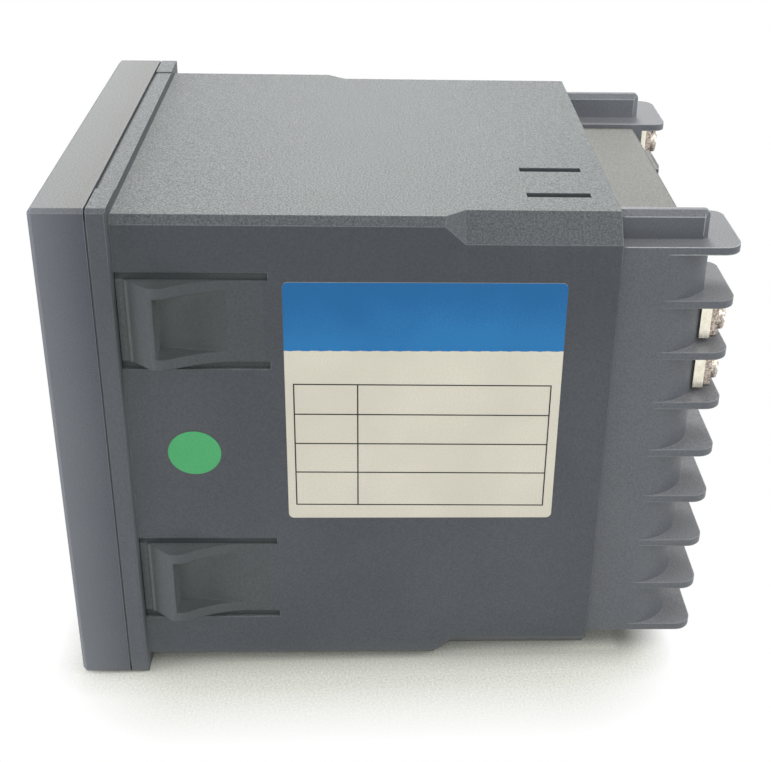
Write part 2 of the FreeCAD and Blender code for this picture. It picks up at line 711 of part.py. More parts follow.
def segments(digit):
    front = MODULE_FRONT - SEGMENT_RISE
    half_w = digit["width"] / 2
    half_h = digit["height"] / 2
    bar = digit["height"] * SEGMENT_BAR_SHARE
    point = POINT_SIZE_BARS * bar
    outlines = [flat_segment(z, half_w, bar) for z in (-half_h, 0, half_h)]
    for x in (-half_w, half_w):
        outlines += [upright_segment(x, base, half_h, bar) for base in (-half_h, 0)]
    solids = []
    for place in range(DIGITS):
        middle = (place - (DIGITS - 1) / 2) * digit["pitch"]
        for outline in outlines:
            placed = [(middle + x + z * DIGIT_LEAN, digit["z"] + z) for x, z in outline]
            solids.append(face_polygon(placed, front, MODULE_FRONT))
        point_x = middle + half_w + POINT_OFFSET_BARS * bar - half_h * DIGIT_LEAN
        solids.append(upright_block(point_x, digit["z"] - half_h, point, point, front, MODULE_FRONT))
    return Part.makeCompound(solids)


def display_module(digit):
    width = DIGITS * digit["pitch"] - MODULE_SIDE_GAP
    height = digit["height"] + 2 * MODULE_RIM
    return upright_block(0, digit["z"], width, height, MODULE_FRONT, DISPLAY_BOARD_FRONT)


def status_lamps():
    lamps = []
    for index in range(LAMP_COUNT):
        z = LAMP_TOP_Z - index * LAMP_PITCH
        lamp = upright_block(LAMP_X, z, LAMP_WIDTH, LAMP_HEIGHT, MODULE_FRONT, DISPLAY_BOARD_FRONT)
        lamps.append(lamp.makeChamfer(LAMP_BEVEL, edges_at_y(lamp, MODULE_FRONT)))
    return Part.makeCompound(lamps)


def display_board():
    half = SKIRT_HALF - SKIRT_WALL - DISPLAY_BOARD_MARGIN
    board = octagon(half, CAVITY_BEVEL, DISPLAY_BOARD_FRONT, DISPLAY_BOARD_BACK)
    front = DISPLAY_BOARD_FRONT - OVERCUT
    return board.cut([rod(x, z, BOARD_HOLE, front, DISPLAY_BOARD_BACK + OVERCUT) for x, z in SCREWED_POSTS])


def board_screws():
    screws = []
    crown = DISPLAY_BOARD_BACK + BOARD_SCREW_HEAD_HEIGHT
    floor = crown - BOARD_SCREW_SLOT_DEPTH
    tip = DISPLAY_BOARD_FRONT - BOARD_SCREW_REACH
    for x, z in SCREWED_POSTS:
        head = rod(x, z, BOARD_SCREW_HEAD, DISPLAY_BOARD_BACK, crown)
        shank = rod(x, z, BOARD_SCREW_SHANK, tip, floor)
        slot = upright_block(x, z, BOARD_SCREW_SLOT_LENGTH, BOARD_SCREW_SLOT, floor, crown + OVERCUT)
        screws.append(fused([head, shank]).cut(slot))
    return Part.makeCompound(screws)


# Inner boards and their parts: the power board on the left, the control board on the right

def main_board(side):
    x = side * BOARD_X
    return upright_block(x, 0, BOARD, 2 * BOARD_HALF_HEIGHT, BOARD_FRONT, BOARD_REAR)


def board_headers():
    inner = BOARD_FACE - HEADER_RISE
    end = BOARD_FRONT + HEADER_OVERLAP
    strip = block(inner, BOARD_FACE, DISPLAY_BOARD_BACK, end, -HEADER_HALF, HEADER_HALF)
    return Part.makeCompound([strip, mirrored(strip)])


def around_transformer(half_x, half_y, half_z):
    corner = FreeCAD.Vector(TRANSFORMER_X - half_x, TRANSFORMER_Y - half_y, TRANSFORMER_Z - half_z)
    return Part.makeBox(2 * half_x, 2 * half_y, 2 * half_z, corner)


def transformer_core():
    core = around_transformer(CORE_STACK / 2, CORE_LENGTH / 2, CORE_HEIGHT / 2)
    window = around_transformer(CORE_STACK, CORE_WINDOW_Y / 2, CORE_WINDOW_Z / 2)
    offset = (CORE_LEG + CORE_WINDOW_Y) / 2
    return core.cut([window.translated(Y_AXIS * way * offset) for way in (-1, 1)])


def transformer_bobbin():
    reach_x = CORE_STACK / 2 + CORE_WINDOW_Y - BOBBIN_MARGIN
    reach_y = CORE_LEG / 2 + CORE_WINDOW_Y - BOBBIN_MARGIN
    half_z = CORE_WINDOW_Z / 2 - BOBBIN_PLAY
    tube = around_transformer(CORE_STACK / 2 + BOBBIN_WALL, CORE_LEG / 2 + BOBBIN_WALL, half_z)
    end = around_transformer(reach_x, reach_y, BOBBIN_END / 2)
    foot_x = (-BOARD_FACE + TRANSFORMER_X - reach_x + BOBBIN_END / 2) / 2
    foot_width = BOARD_FACE + TRANSFORMER_X - reach_x + BOBBIN_END / 2
    foot_y0 = TRANSFORMER_Y - reach_y
    foot_y1 = TRANSFORMER_Y + reach_y
    mouldings = [tube]
    for way in (-1, 1):
        mouldings.append(end.translated(Z_AXIS * way * (half_z - BOBBIN_END / 2)))
        foot_z = TRANSFORMER_Z + way * (half_z - BOBBIN_FOOT / 2)
        mouldings.append(upright_block(foot_x, foot_z, foot_width, BOBBIN_FOOT, foot_y0, foot_y1))
    hole = around_transformer(CORE_STACK / 2 + FIT_GAP, CORE_LEG / 2 + FIT_GAP, CORE_WINDOW_Z)
    return fused(mouldings).cut(hole)


def transformer_winding():
    reach_x = CORE_STACK / 2 + CORE_WINDOW_Y - WINDING_MARGIN
    reach_y = CORE_LEG / 2 + CORE_WINDOW_Y - WINDING_MARGIN
    half_z = CORE_WINDOW_Z / 2 - BOBBIN_PLAY - BOBBIN_END
    coil = around_transformer(reach_x, reach_y, half_z)
    coil = coil.makeChamfer(WINDING_BEVEL, edges_along(coil, Z_AXIS))
    hole = around_transformer(CORE_STACK / 2 + BOBBIN_WALL, CORE_LEG / 2 + BOBBIN_WALL, CORE_WINDOW_Z)
    return coil.cut(hole)


def output_relay():
    top = -BOARD_FACE + RELAY_RISE
    case = block(-BOARD_FACE, top, *RELAY_Y, *RELAY_Z)
    return case.makeChamfer(RELAY_BEVEL, edges_at_x(case, top))


def capacitor(size):
    foot = FreeCAD.Vector(-BOARD_FACE, size["y"], size["z"])
    return Part.makeCylinder(size["diameter"] / 2, size["length"], foot, X_AXIS)


def chip(size):
    top = BOARD_FACE - size["rise"]
    half_y = size["length"] / 2
    half_z = size["height"] / 2
    y = size["y"]
    z = size["z"]
    body = block(top, BOARD_FACE, y - half_y, y + half_y, z - half_z, z + half_z)
    return body.makeChamfer(CHIP_BEVEL, edges_at_x(body, top))


# Assembly: one named piece per file

pieces = {
    "housing": housing(),
    "front_bezel": front_bezel(),
    "display_window": display_window(),
    "rear_cover": rear_cover(),
    "terminal_strip_right": terminal_strip(1),
    "terminal_strip_left": terminal_strip(-1),
    "terminal_plates": fitted(terminal_plate),
    "terminal_washers": fitted(square_washer),
    "terminal_screws": fitted(terminal_screw),
    "rating_label": rating_label(),
    "inspection_sticker": inspection_sticker(),
    "tact_switches": tact_switches(),
    "process_display": display_module(PROCESS_DIGIT),
    "process_segments": segments(PROCESS_DIGIT),
    "setpoint_display": display_module(SETPOINT_DIGIT),
    "setpoint_segments": segments(SETPOINT_DIGIT),
    "status_lamps": status_lamps(),
    "display_board": display_board(),
    "board_screws": board_screws(),
    "power_board": main_board(-1),
    "control_board": main_board(1),
    "board_headers": board_headers(),
    "transformer_core": transformer_core(),
    "transformer_bobbin": transformer_bobbin(),
    "transformer_winding": transformer_winding(),
    "output_relay": output_relay(),
    "filter_capacitors": Part.makeCompound([capacitor(size) for size in CAPACITORS]),
    "control_chips": Part.makeCompound([chip(size) for size in CHIPS]),
}
for row, top in (("upper", 1), ("lower", -1)):
    for wing, side in (("right", 1), ("left", -1)):
        pieces["latch_" + row + "_" + wing] = latch(side, top * LATCH_CENTRE)
for index, name in enumerate(KEY_NAMES):
    pieces["key_" + name] = key_cap(index)
    pieces["plunger_" + name] = plunger(index)

for name, shape in pieces.items():
    if not shape.isValid():
        raise ValueError(name + " is not a valid solid")
    shape.exportStep("parts/" + name + ".step")
    box = shape.BoundBox
    low = [round(value, 2) for value in (box.XMin, box.YMin, box.ZMin)]
    high = [round(value, 2) for value in (box.XMax, box.YMax, box.ZMax)]
    print(name, len(shape.Solids), round(shape.Volume, 1), low, high)
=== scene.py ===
import bpy
import math
from mathutils import Matrix, Vector

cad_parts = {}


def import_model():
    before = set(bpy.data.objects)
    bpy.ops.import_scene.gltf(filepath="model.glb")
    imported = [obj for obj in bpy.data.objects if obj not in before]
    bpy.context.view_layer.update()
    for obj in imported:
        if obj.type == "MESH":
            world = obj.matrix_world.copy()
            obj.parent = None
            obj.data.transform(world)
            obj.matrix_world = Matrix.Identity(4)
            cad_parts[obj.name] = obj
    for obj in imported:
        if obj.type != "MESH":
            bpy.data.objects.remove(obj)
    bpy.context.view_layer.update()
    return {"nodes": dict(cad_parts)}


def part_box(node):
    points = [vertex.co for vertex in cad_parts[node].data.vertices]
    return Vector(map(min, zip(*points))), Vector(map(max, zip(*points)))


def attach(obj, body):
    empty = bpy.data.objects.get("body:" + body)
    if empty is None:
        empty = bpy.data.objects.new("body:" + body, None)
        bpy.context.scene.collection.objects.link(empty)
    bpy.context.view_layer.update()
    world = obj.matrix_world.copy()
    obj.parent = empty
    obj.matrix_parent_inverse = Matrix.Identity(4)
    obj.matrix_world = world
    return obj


# Panel-mount temperature controller: finishes, print, stage, light and camera, in metres.

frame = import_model()
nodes = frame["nodes"]
MM = 0.001

# Camera
IMAGE_WIDTH = 771
FOCAL_PIXELS = 1362.4
CAMERA_PLACE = Vector((0.25959, 0.042863, 0.126483))
CAMERA_AZIMUTH = math.radians(88.0196)
CAMERA_ELEVATION = math.radians(28.7411)
CAMERA_ROLL = math.radians(1.0067)
CAMERA_SHIFT = (-0.03035, 0.04109)
SENSOR_WIDTH = 36.0
CLIP_START = 0.01

# Print on the label and the keys
PRINT_LIFT = 0.02 * MM
BAND_LOW = 21.45 * MM
BAND_SPAN = (33 * MM, 23 * MM)
TABLE_SIDES = (29.78 * MM, 41.1 * MM, 75.45 * MM)
TABLE_RULES = (14.76 * MM, 8.75 * MM, 2.72 * MM, -3.32 * MM, -10.3 * MM)
TABLE_TILT = -0.0054
RULE_WIDTH = 0.24 * MM
LABEL_CORNER = 1.0 * MM
RAGGED_HEIGHT = 0.05 * MM
BAND_STEPS = 120
CORNER_STEPS = 6
MARK_HALF = 1.7 * MM
MARK_RING = 0.55 * MM
RING_STEPS = 32

# Thin sheets at the latch roots, in the latch slots and in the seam behind the bezel; the slot sheets
# carry painted shade, with painted light at the slot ends
CASE_HALF = 45.75 * MM
SKIN_Y = (24.9 * MM, 26.4 * MM)
GAP_DEPTH = 0.6 * MM
GAP_WIDTH = 1.4 * MM
GAP_CLEAR = 0.05 * MM
SEAM_X = 47.62 * MM
SEAM_Y = (-3.7 * MM, -3.2 * MM)
SEAM_HALF = 46 * MM

# Floor, shadow and light
FLOOR_HALF = 2.5
WORLD_LIGHT = 0.35
LIGHT_TARGET = Vector((0, 0.045, 0))
COOL_WHITE = (0.98, 0.99, 1.0)
WARM_WHITE = (1.0, 1.0, 0.98)
SHADOW_CENTRE = Vector((0, 44 * MM, 0))
SHADOW_HALF = Vector((43.5 * MM, 34 * MM, 0))
SHADOW_REACH = (8.5 * MM, 25.5 * MM)
CONTACT_CENTRE = Vector((0, 42.5 * MM, 0))
CONTACT_HALF = Vector((43.5 * MM, 49.5 * MM, 0))
CONTACT_REACH = (1.5 * MM, 7 * MM)
CONTACT_CLEAR = (3 * MM, 12 * MM)
CONTACT_SHADE = 0.32

# Grain and specks of the mouldings, with painted light: top light with some dust, fill light in
# recesses, shade and light by height, and edge highlights with some wear
NOISE_SPAN = (0.3, 0.7)
TONE_TOP = 48 * MM
TONE_LOW = -48 * MM
TONE_PATCH = 28 * MM
RECESS_REACH = 7 * MM
EDGE_REACH = 1 * MM
EDGE_TURN = (0.995, 0.92)
TOP_EDGES = (36 * MM, 39 * MM)
LYING_FROM = 0.52
SPECK_SPACING = 14 * MM
SPECK_RADIUS = 0.012
SPECK_CHANCE = 0.12
MOULD_ROUND = 0.3 * MM
METAL_ROUND = 0.12 * MM
GRAIN_SHADE = 0.42


# Node helpers

def srgb(red, green, blue):
    values = []
    for channel in (red, green, blue):
        share = channel / 255
        values.append(share / 12.92 if share <= 0.04045 else ((share + 0.055) / 1.055) ** 2.4)
    return (*values, 1.0)


def wire(tree, socket, value):
    if isinstance(value, bpy.types.NodeSocket):
        tree.links.new(value, socket)
    else:
        socket.default_value = value


def add(tree, kind, inputs, **settings):
    node = tree.nodes.new("ShaderNode" + kind)
    for name, value in settings.items():
        setattr(node, name, value)
    for name, value in inputs.items():
        wire(tree, node.inputs[name], value)
    return node


def mix(tree, factor, first, second):
    node = tree.nodes.new("ShaderNodeMix")
    node.data_type = "RGBA"
    for index, value in ((0, factor), (6, first), (7, second)):
        wire(tree, node.inputs[index], value)
    return node.outputs[2]


def noise(tree, size, detail=2.0, rough=0.5, stretch=(1, 1, 1)):
    place = add(tree, "TexCoord", {}).outputs["Object"]
    scaled = add(tree, "Mapping", {"Vector": place, "Scale": Vector(stretch)}).outputs["Vector"]
    inputs = {"Vector": scaled, "Scale": 1 / size, "Detail": detail, "Roughness": rough}
    return add(tree, "TexNoise", inputs).outputs["Fac"]


def spread(tree, value, low, high, to_low, to_high):
    inputs = {"Value": value, "From Min": low, "From Max": high, "To Min": to_low, "To Max": to_high}
    return add(tree, "MapRange", inputs).outputs["Result"]


def specks(tree):
    place = add(tree, "TexCoord", {}).outputs["Object"]
    cells = add(tree, "TexVoronoi", {"Vector": place, "Scale": 1 / SPECK_SPACING})
    near = add(tree, "Math", {0: cells.outputs["Distance"], 1: SPECK_RADIUS}, operation="LESS_THAN")
    chosen = add(tree, "SeparateColor", {"Color": cells.outputs["Color"]}).outputs["Red"]
    rare = add(tree, "Math", {0: chosen, 1: SPECK_CHANCE}, operation="LESS_THAN")
    return add(tree, "Math", {0: near.outputs[0], 1: rare.outputs[0]}, operation="MULTIPLY").outputs[0]


# Mask of convex edges, for painted edge highlights with some wear.
def edge_share(tree, rounded, amount):
    flat = add(tree, "NewGeometry", {}).outputs["Normal"]
    along = add(tree, "VectorMath", {0: rounded, 1: flat}, operation="DOT_PRODUCT").outputs["Value"]
    turned = spread(tree, along, *EDGE_TURN, 0.0, amount)
    opened = add(tree, "AmbientOcclusion", {"Distance": EDGE_REACH}, samples=4).outputs["AO"]
    proud = spread(tree, opened, 0.75, 0.95, 0.0, 1.0)
    return add(tree, "Math", {0: turned, 1: proud}, operation="MULTIPLY").outputs[0]


def new_material(name):
    material = bpy.data.materials.new(name)
    material.use_nodes = True
    return material, material.node_tree, material.node_tree.nodes["Principled BSDF"]


# Materials

# Pale colours for painted top light with some dust, and for painted fill light in recesses.
GREY_DUST_AND_LIGHT = srgb(156, 163, 158)
WARM_DUST_AND_LIGHT = srgb(166, 165, 154)
PALE_DUST_AND_LIGHT = srgb(166, 165, 166)
SPECK_COLOUR = srgb(190, 190, 190)
GRAIN_COLOUR = srgb(20, 22, 24)
FRONT_LIGHT_COLOUR = srgb(160, 164, 172)
EDGE_WEAR_AND_HIGHLIGHT_COLOUR = srgb(200, 204, 208)


# Painted top light with some dust: pales faces that lie flat towards the pale colour, more the more they
# face up, varied by the grain.
def dust_and_top_light_mask(tree, fine, amount, speckle):
    normal = add(tree, "TexCoord", {}).outputs["Normal"]
    rise = add(tree, "SeparateXYZ", {"Vector": normal}).outputs["Z"]
    lying = spread(tree, rise, LYING_FROM, 1.0, 0.0, amount)
    uneven = spread(tree, fine, *NOISE_SPAN, 1 + speckle, 1 - speckle)
    return add(tree, "Math", {0: lying, 1: uneven}, operation="MULTIPLY").outputs[0]


# Painted fill light: pales recesses by ambient occlusion, standing in for light that reaches into them.
def recess_fill_light(tree, amount):
    opened = add(tree, "AmbientOcclusion", {"Distance": RECESS_REACH}, samples=8).outputs["AO"]
    return spread(tree, opened, 0.9, 0.3, 0.0, amount)


# Painted light and shade by height: the upper colour at the top blends into the lower colour at the
# bottom, mostly paler below for light bounced from the floor; the patches are random tone.
def downward(tree):
    place = add(tree, "TexCoord", {}).outputs["Object"]
    height = add(tree, "SeparateXYZ", {"Vector": place}).outputs["Z"]
    fall = spread(tree, height, TONE_TOP, TONE_LOW, 0.0, 1.0)
    patches = spread(tree, noise(tree, TONE_PATCH, 3.0), 0.35, 0.65, -0.2, 0.2)
    return add(tree, "Math", {0: fall, 1: patches}, operation="ADD", use_clamp=True).outputs[0]


def upward(tree, amount, top_amount):
    place = add(tree, "TexCoord", {}).outputs["Object"]
    height = add(tree, "SeparateXYZ", {"Vector": place}).outputs["Z"]
    return spread(tree, height, *TOP_EDGES, amount, top_amount)


# Painted front light: a mask that rises towards the front (-y) of a part.
def frontward(tree, start, end, amount):
    place = add(tree, "TexCoord", {}).outputs["Object"]
    depth = add(tree, "SeparateXYZ", {"Vector": place}).outputs["Y"]
    return spread(tree, depth, start, end, 0.0, amount)


def moulded(
    name, upper, lower, rough, grain, depth,
    specked=False, film=0.0, speckle=0.5, recess=0.0, pale=None, painted_front_light=None, edge_wear_and_highlight=None,
):
    material, tree, shader = new_material(name)
    rounded = add(tree, "Bevel", {"Radius": MOULD_ROUND}, samples=6).outputs["Normal"]
    # Painted light and shade by height.
    colour = mix(tree, downward(tree), upper, lower)
    fine = noise(tree, grain, 3.0, 0.65)
    colour = mix(tree, spread(tree, fine, *NOISE_SPAN, 0.0, GRAIN_SHADE), colour, GRAIN_COLOUR)
    # Painted top light with some dust on flat-lying faces, then painted fill light in recesses.
    if film:
        colour = mix(tree, dust_and_top_light_mask(tree, fine, film, speckle), colour, pale)
        colour = mix(tree, recess_fill_light(tree, recess), colour, pale)
    # Painted front light, paler towards the front ends of the bezel, the flange and the latch tongues.
    if painted_front_light:
        colour = mix(tree, frontward(tree, *painted_front_light), colour, FRONT_LIGHT_COLOUR)
    # Painted highlights on convex edges, strongest on the upper edges, with some edge wear.
    if edge_wear_and_highlight:
        colour = mix(tree, edge_share(tree, rounded, upward(tree, *edge_wear_and_highlight)), colour, EDGE_WEAR_AND_HIGHLIGHT_COLOUR)
    if specked:
        colour = mix(tree, specks(tree), colour, SPECK_COLOUR)
    wire(tree, shader.inputs["Base Color"], colour)
    wire(tree, shader.inputs["Roughness"], spread(tree, fine, *NOISE_SPAN, rough - 0.07, rough + 0.07))
    inputs = {"Strength": 1.0, "Distance": depth, "Height": fine, "Normal": rounded}
    wire(tree, shader.inputs["Normal"], add(tree, "Bump", inputs).outputs["Normal"])
    return material


# Dull blotches: one amount on faces towards +y, and another on all other faces.
def plated(name, bright, dull, rough, face_blotch, side_blotch, grain):
    material, tree, shader = new_material(name)
    rounded = add(tree, "Bevel", {"Radius": METAL_ROUND}, samples=6).outputs["Normal"]
    normal = add(tree, "TexCoord", {}).outputs["Normal"]
    facing = add(tree, "SeparateXYZ", {"Vector": normal}).outputs["Y"]
    deepest = spread(tree, facing, 0.4, 0.8, side_blotch, face_blotch)
    blotch = spread(tree, noise(tree, grain, 4.0, 0.7), 0.42, 0.62, 0.0, deepest)
    wire(tree, shader.inputs["Base Color"], mix(tree, blotch, bright, dull))
    shader.inputs["Metallic"].default_value = 1.0
    scratch = noise(tree, 0.25 * MM, 3.0, 0.6, (1.0, 1.0, 0.15))
    wire(tree, shader.inputs["Roughness"], spread(tree, scratch, *NOISE_SPAN, rough - 0.08, rough + 0.1))
    inputs = {"Strength": 0.5, "Distance": 0.01 * MM, "Height": scratch, "Normal": rounded}
    wire(tree, shader.inputs["Normal"], add(tree, "Bump", inputs).outputs["Normal"])
    return material


def printed(name, colour, shade, rough, span=None):
    material, tree, shader = new_material(name)
    fibre = noise(tree, 0.35 * MM, 3.0, 0.6)
    cloud = noise(tree, 16 * MM, 2.0)
    both = add(tree, "Math", {0: fibre, 1: cloud}, operation="MULTIPLY").outputs[0]
    share = spread(tree, both, 0.12, 0.4, 0.0, 1.0)
    if span:
        place = add(tree, "TexCoord", {}).outputs["Object"]
        height = add(tree, "SeparateXYZ", {"Vector": place}).outputs["Z"]
        fall = spread(tree, height, *span, -0.5, 0.5)
        share = add(tree, "Math", {0: fall, 1: share}, operation="ADD", use_clamp=True).outputs[0]
    wire(tree, shader.inputs["Base Color"], mix(tree, share, shade, colour))
    wire(tree, shader.inputs["Roughness"], spread(tree, fibre, *NOISE_SPAN, rough - 0.05, rough + 0.08))
    shader.inputs["Specular IOR Level"].default_value = 0.25
    inputs = {"Strength": 0.6, "Distance": 0.004 * MM, "Height": fibre}
    wire(tree, shader.inputs["Normal"], add(tree, "Bump", inputs).outputs["Normal"])
    return material


def smoked_acrylic(name):
    material, tree, shader = new_material(name)
    haze = noise(tree, 6 * MM, 4.0, 0.6)
    shader.inputs["Base Color"].default_value = srgb(128, 124, 126)
    wire(tree, shader.inputs["Roughness"], spread(tree, haze, 0.35, 0.7, 0.02, 0.09))
    shader.inputs["Transmission Weight"].default_value = 1.0
    shader.inputs["IOR"].default_value = 1.49
    return material


def laminate(name):
    material, tree, shader = new_material(name)
    weave = noise(tree, 0.6 * MM, 2.0, 0.5, (1.0, 1.0, 3.0))
    wire(tree, shader.inputs["Base Color"], mix(tree, weave, srgb(16, 70, 38), srgb(30, 104, 58)))
    wire(tree, shader.inputs["Roughness"], spread(tree, weave, *NOISE_SPAN, 0.25, 0.4))
    inputs = {"Strength": 0.4, "Distance": 0.02 * MM, "Height": weave}
    wire(tree, shader.inputs["Normal"], add(tree, "Bump", inputs).outputs["Normal"])
    return material


def laminated_core(name):
    material, tree, shader = new_material(name)
    sheets = noise(tree, 1.0 * MM, 1.0, 0.5, (3.0, 0.02, 0.02))
    wire(tree, shader.inputs["Base Color"], mix(tree, sheets, srgb(40, 40, 43), srgb(92, 92, 96)))
    wire(tree, shader.inputs["Roughness"], spread(tree, sheets, *NOISE_SPAN, 0.4, 0.6))
    shader.inputs["Metallic"].default_value = 0.6
    inputs = {"Strength": 0.8, "Distance": 0.05 * MM, "Height": sheets}
    wire(tree, shader.inputs["Normal"], add(tree, "Bump", inputs).outputs["Normal"])
    return material


# Mouldings: their upper and lower colours carry painted shade and light by height; the other settings
# add painted top light with some dust, painted fill light in recesses, painted front light and painted
# edge highlights with some wear.
case_plastic = moulded(
    "case_plastic", srgb(58, 62, 69), srgb(80, 84, 91), 0.52, 0.33 * MM, 0.09 * MM,
    specked=True, film=0.245, speckle=1.2, recess=0.2, pale=GREY_DUST_AND_LIGHT,
    painted_front_light=(0.5 * MM, -1 * MM, 0.06), edge_wear_and_highlight=(0.1, 0.2),
)
# The case plastic again for the latch tongues, with almost no painted top light so that their top faces
# stay shaded, and painted front light at the free ends.
latch_plastic = moulded(
    "latch_plastic", srgb(64, 68, 72), srgb(78, 82, 86), 0.5, 0.38 * MM, 0.06 * MM,
    film=0.02, recess=0.26, pale=GREY_DUST_AND_LIGHT, painted_front_light=(8 * MM, 3 * MM, 0.11),
)
# Painted shade for the sheets in the latch slots, and painted light for the sheets at the slots' free
# ends.
painted_gap_shade = moulded("painted_gap_shade", srgb(55, 60, 63), srgb(55, 60, 63), 0.6, 0.38 * MM, 0.05 * MM)
painted_gap_end_light = moulded(
    "painted_gap_end_light", srgb(96, 101, 104), srgb(96, 101, 104), 0.6, 0.38 * MM, 0.05 * MM,
)
cover_plastic = moulded(
    "cover_plastic", srgb(72, 76, 80), srgb(81, 85, 89), 0.5, 0.3 * MM, 0.03 * MM,
    film=0.36, recess=0.2, pale=WARM_DUST_AND_LIGHT,
)
bezel_plastic = moulded(
    "bezel_plastic", srgb(72, 76, 88), srgb(89, 93, 101), 0.48, 0.3 * MM, 0.05 * MM,
    film=0.36, recess=0.1, pale=WARM_DUST_AND_LIGHT, painted_front_light=(-4 * MM, -13 * MM, 0.26), edge_wear_and_highlight=(0.15, 0.2),
)
terminal_plastic = moulded(
    "terminal_plastic", srgb(88, 92, 100), srgb(102, 105, 111), 0.42, 0.3 * MM, 0.03 * MM,
    film=0.38, recess=0.06, pale=PALE_DUST_AND_LIGHT, edge_wear_and_highlight=(0.25, 1.0),
)
# The same plastic as the right strip, painted lighter for the far strip, its upper part most, with more
# painted fill light in recesses.
left_terminal_painted_lighter = moulded(
    "left_terminal_painted_lighter", srgb(108, 112, 120), srgb(100, 103, 109), 0.42, 0.3 * MM, 0.03 * MM,
    film=0.3, recess=0.24, pale=PALE_DUST_AND_LIGHT, edge_wear_and_highlight=(0.25, 0.8),
)
key_plastic = moulded("key_plastic", srgb(150, 154, 158), srgb(158, 160, 160), 0.5, 0.2 * MM, 0.01 * MM)
black_plastic = moulded("black_plastic", srgb(32, 33, 36), srgb(36, 36, 37), 0.45, 0.25 * MM, 0.01 * MM)
module_face = moulded("module_face", srgb(26, 27, 30), srgb(30, 30, 31), 0.6, 0.2 * MM, 0.01 * MM)
segment_resin = moulded(
    "segment_resin", srgb(150, 146, 140), srgb(160, 154, 146), 0.35, 0.3 * MM, 0.004 * MM,
)
lamp_resin = moulded("lamp_resin", srgb(150, 44, 34), srgb(170, 58, 44), 0.25, 0.4 * MM, 0.004 * MM)
relay_plastic = moulded("relay_plastic", srgb(30, 62, 122), srgb(36, 70, 130), 0.4, 0.3 * MM, 0.01 * MM)
nylon = moulded("nylon", srgb(214, 210, 196), srgb(222, 218, 204), 0.45, 0.3 * MM, 0.01 * MM)
amber_tape = moulded("amber_tape", srgb(206, 160, 60), srgb(214, 170, 72), 0.3, 0.8 * MM, 0.02 * MM)
sleeve = moulded("sleeve", srgb(34, 38, 56), srgb(40, 44, 62), 0.3, 0.5 * MM, 0.006 * MM)
nickel = plated("nickel", srgb(248, 243, 228), srgb(214, 200, 170), 0.26, 0.3, 0.4, 1.1 * MM)
washer_metal = plated("washer_metal", srgb(204, 192, 180), srgb(92, 74, 68), 0.34, 0.2, 0.85, 0.4 * MM)
screw_metal = plated("screw_metal", srgb(222, 214, 200), srgb(98, 82, 78), 0.28, 0.15, 0.75, 0.5 * MM)
zinc = plated("zinc", srgb(206, 208, 212), srgb(160, 160, 160), 0.3, 0.4, 0.4, 1.1 * MM)
label_film = printed("label_film", srgb(213, 208, 196), srgb(201, 196, 184), 0.42)
band_ink = printed("band_ink", srgb(35, 113, 173), srgb(22, 95, 152), 0.4, BAND_SPAN)
rule_ink = printed("rule_ink", srgb(58, 58, 58), srgb(44, 44, 44), 0.5)
mark_ink = printed("mark_ink", srgb(46, 48, 52), srgb(38, 40, 44), 0.5)
sticker_film = printed("sticker_film", srgb(82, 168, 112), srgb(66, 152, 98), 0.38)
window_smoke = smoked_acrylic("window_smoke")
board_laminate = laminate("board_laminate")
core_steel = laminated_core("core_steel")

FINISHES = {
    "housing": case_plastic,
    "rear_cover": cover_plastic,
    "front_bezel": bezel_plastic,
    "terminal_strip_right": terminal_plastic,
    "terminal_strip_left": left_terminal_painted_lighter,
    "display_window": window_smoke,
    "terminal_plates": nickel,
    "terminal_washers": washer_metal,
    "terminal_screws": screw_metal,
    "rating_label": label_film,
    "inspection_sticker": sticker_film,
    "tact_switches": black_plastic,
    "process_display": module_face,
    "setpoint_display": module_face,
    "process_segments": segment_resin,
    "setpoint_segments": segment_resin,
    "status_lamps": lamp_resin,
    "display_board": board_laminate,
    "power_board": board_laminate,
    "control_board": board_laminate,
    "board_screws": zinc,
    "board_headers": black_plastic,
    "transformer_core": core_steel,
    "transformer_bobbin": nylon,
    "transformer_winding": amber_tape,
    "output_relay": relay_plastic,
    "filter_capacitors": sleeve,
    "control_chips": black_plastic,
}
for name, piece in nodes.items():
    if name.startswith("latch_"):
        finish = latch_plastic
    elif name.startswith("key_"):
        finish = key_plastic
    elif name.startswith("plunger_"):
        finish = black_plastic
    else:
        finish = FINISHES[name]
    piece.data.materials.clear()
    piece.data.materials.append(finish)


# Print, just above the surface that carries it, and thin sheets that close the gaps of the case; the
# latch slot sheets carry painted shade, and paler painted light at the slot ends

def flat_piece(name, faces, finish, body):
    points = []
    polygons = []
    for face in faces:
        polygons.append(range(len(points), len(points) + len(face)))
        points += face
    mesh = bpy.data.meshes.new(name)
    mesh.from_pydata(points, [], [list(polygon) for polygon in polygons])
    mesh.materials.append(finish)
    piece = bpy.data.objects.new(name, mesh)
    bpy.context.scene.collection.objects.link(piece)
    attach(piece, body)


def corner_arc(y, z, radius, start):
    angles = [start + index * math.pi / 2 / CORNER_STEPS for index in range(CORNER_STEPS + 1)]
    return [(y + radius * math.cos(angle), z + radius * math.sin(angle)) for angle in angles]


label_low, label_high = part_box("rating_label")
label_x = label_high.x + PRINT_LIFT


def on_label(outline):
    return [(label_x, y, z) for y, z in outline]


def ragged(y):
    wave = math.sin(y / MM * 2.3) + 0.6 * math.sin(y / MM * 5.9 + 1.1)
    return BAND_LOW + RAGGED_HEIGHT * wave


